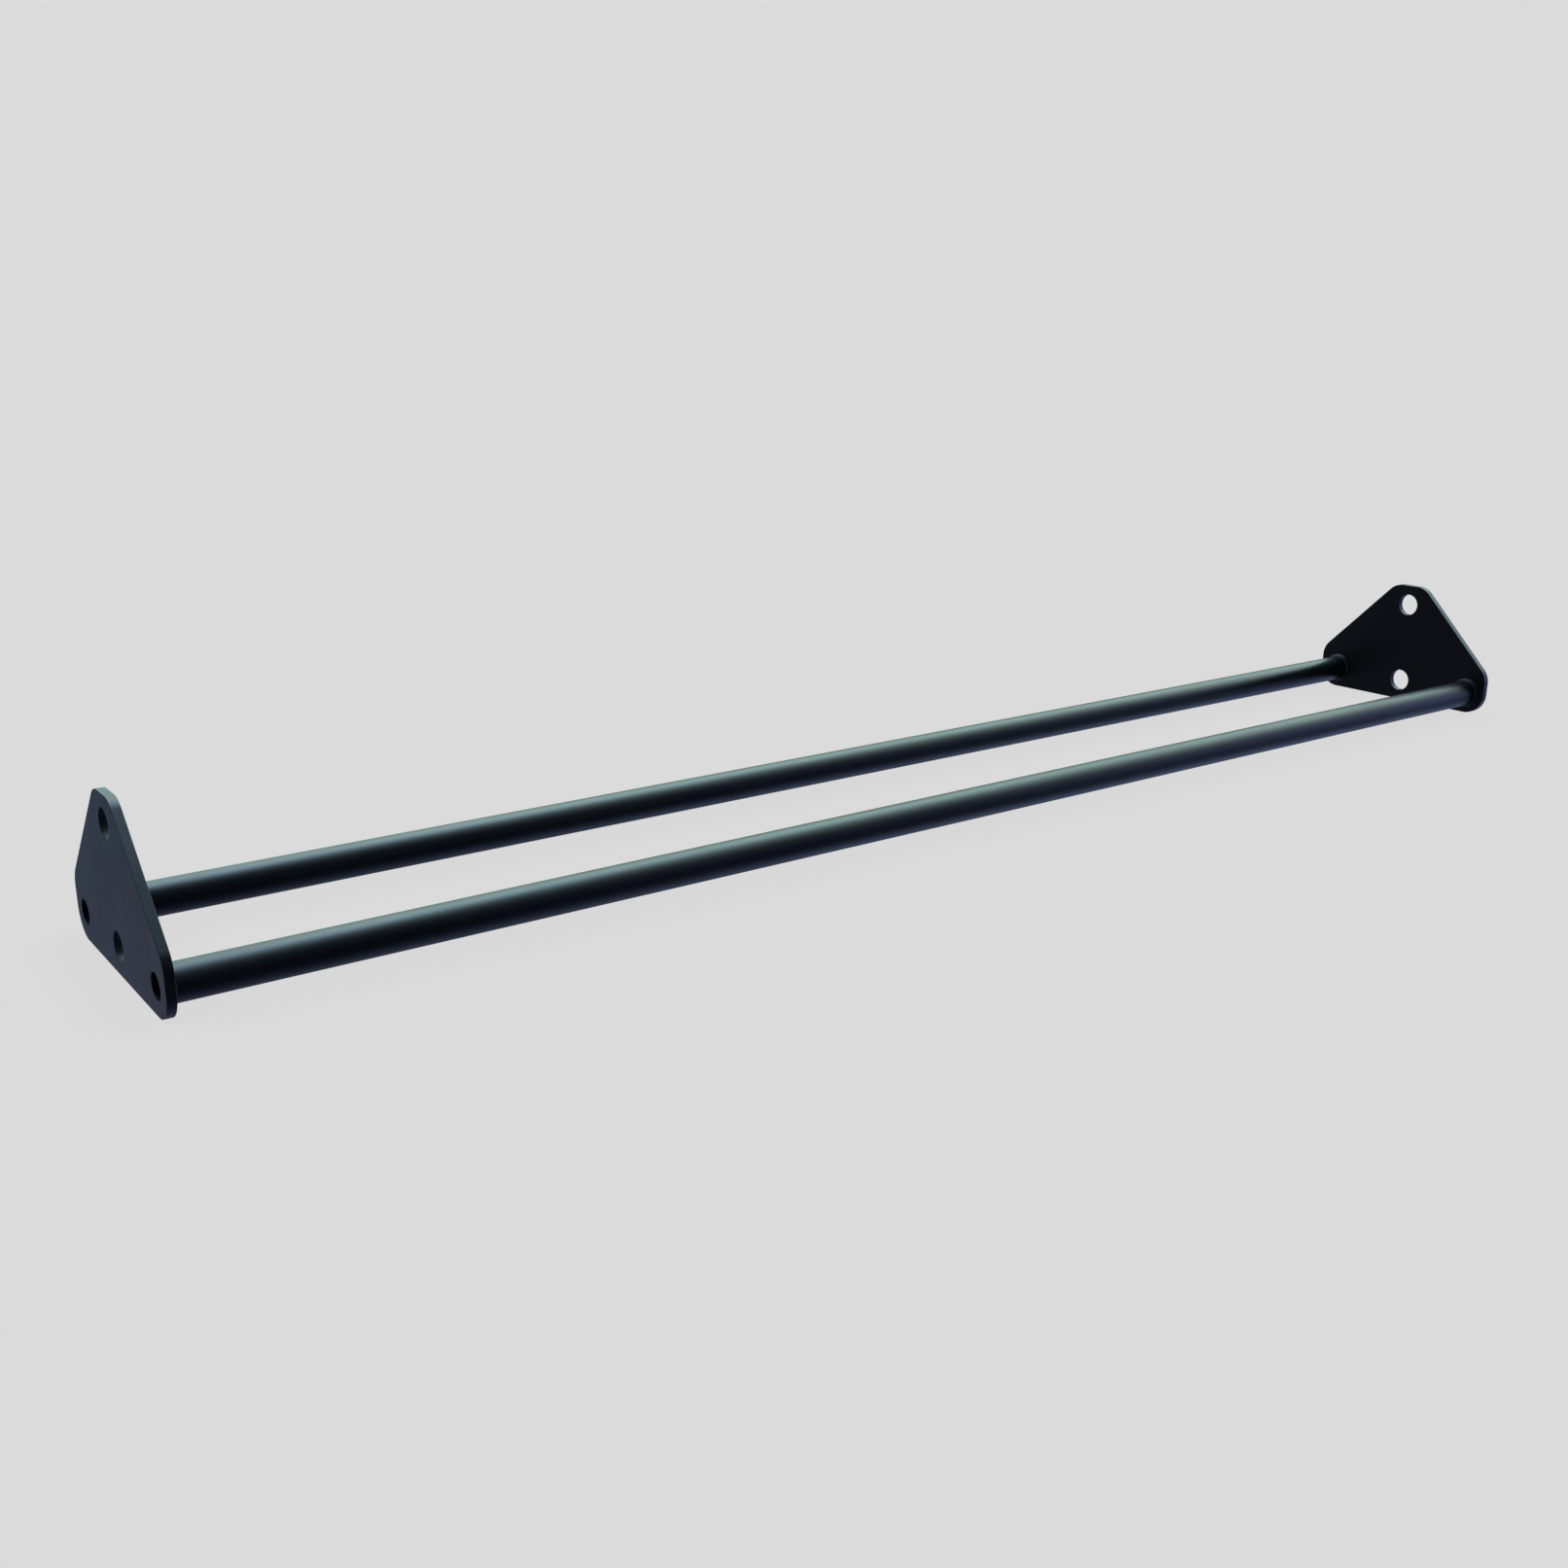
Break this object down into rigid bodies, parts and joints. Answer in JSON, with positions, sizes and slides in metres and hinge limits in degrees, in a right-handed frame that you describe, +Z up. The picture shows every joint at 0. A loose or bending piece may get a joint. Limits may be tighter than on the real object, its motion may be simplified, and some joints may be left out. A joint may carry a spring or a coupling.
{
  "type": "pull up bar",
  "caption": "Pull-up bar with parallel round grip bars welded between drilled, round-cornered upright end plates that bolt to a rack or rig.",
  "frame": {"origin": "under the middle of the part, level with the bottom edges of the end plates", "axes": "+X along the bars towards the right end plate, +Y from the front bar to the rear bar, +Z up towards the plates' top bolt holes"},
  "size_m": [1.6922, 0.2458, 0.1524],
  "materials": {
    "plate_coat": "satin black powder coat on flat steel plate, faintly blue",
    "bar_coat": "satin black powder coat on drawn steel tube, smooth to the hand",
    "weld_coat": "the same powder coat over rippled fillet weld beads"
  },
  "bodies": {
    "root": {"left_end_plate": "plate_coat", "right_end_plate": "plate_coat", "front_bar": "bar_coat", "rear_bar": "bar_coat", "front_left_weld": "weld_coat", "front_right_weld": "weld_coat", "rear_left_weld": "weld_coat", "rear_right_weld": "weld_coat"}
  },
  "joints": []
}
